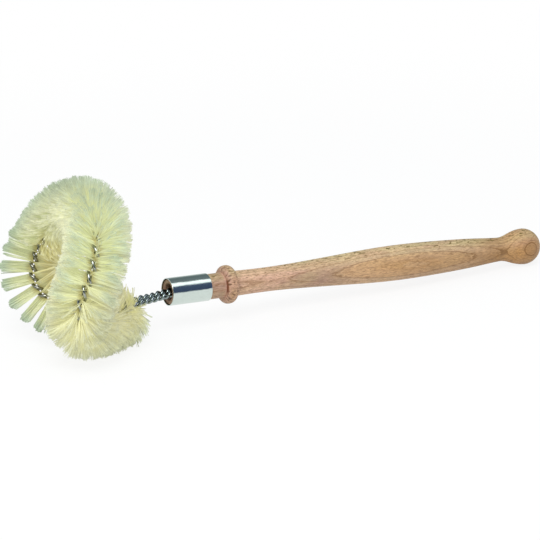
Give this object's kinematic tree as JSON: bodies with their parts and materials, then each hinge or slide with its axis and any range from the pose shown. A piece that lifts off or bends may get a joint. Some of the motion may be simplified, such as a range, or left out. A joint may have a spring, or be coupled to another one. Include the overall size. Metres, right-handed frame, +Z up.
{
  "type": "toilet brush",
  "caption": "Toilet brush with a turned wooden handle ending in a ball, a metal ferrule, and a twisted-wire strip of bristles bent into an upright ring.",
  "frame": {"origin": "on the floor, under the middle of the whole brush as it lies on its ball end and on the bottom of the bristle ring", "axes": "+X from the bristle head to the ball end of the handle, +Z up; the handle slopes down by about 3.5 degrees to its ball"},
  "size_m": [0.3934, 0.1198, 0.1173],
  "materials": {
    "beech": "turned, raw, satin",
    "plated_steel": "bright plated",
    "galvanised_wire": "galvanised",
    "bristle": "pale bristle, cut ends"
  },
  "bodies": {
    "root": {"handle": "beech", "ferrule": "plated_steel", "wire_a": "galvanised_wire", "wire_b": "galvanised_wire", "tuft_01": "bristle", "tuft_02": "bristle", "tuft_03": "bristle", "tuft_04": "bristle", "tuft_05": "bristle", "tuft_06": "bristle", "tuft_07": "bristle", "tuft_08": "bristle", "tuft_09": "bristle", "tuft_10": "bristle", "tuft_11": "bristle", "tuft_12": "bristle", "tuft_13": "bristle", "tuft_14": "bristle", "tuft_15": "bristle", "tuft_16": "bristle", "tuft_17": "bristle", "tuft_18": "bristle", "tuft_19": "bristle", "tuft_20": "bristle", "tuft_21": "bristle", "tuft_22": "bristle", "tuft_23": "bristle", "tuft_24": "bristle", "tuft_25": "bristle", "tuft_26": "bristle", "tuft_27": "bristle", "tuft_28": "bristle", "tuft_29": "bristle", "tuft_30": "bristle", "tuft_31": "bristle", "tuft_32": "bristle", "tuft_33": "bristle", "tuft_34": "bristle", "tuft_35": "bristle", "tuft_36": "bristle", "tuft_37": "bristle", "tuft_38": "bristle", "tuft_39": "bristle"}
  },
  "joints": []
}
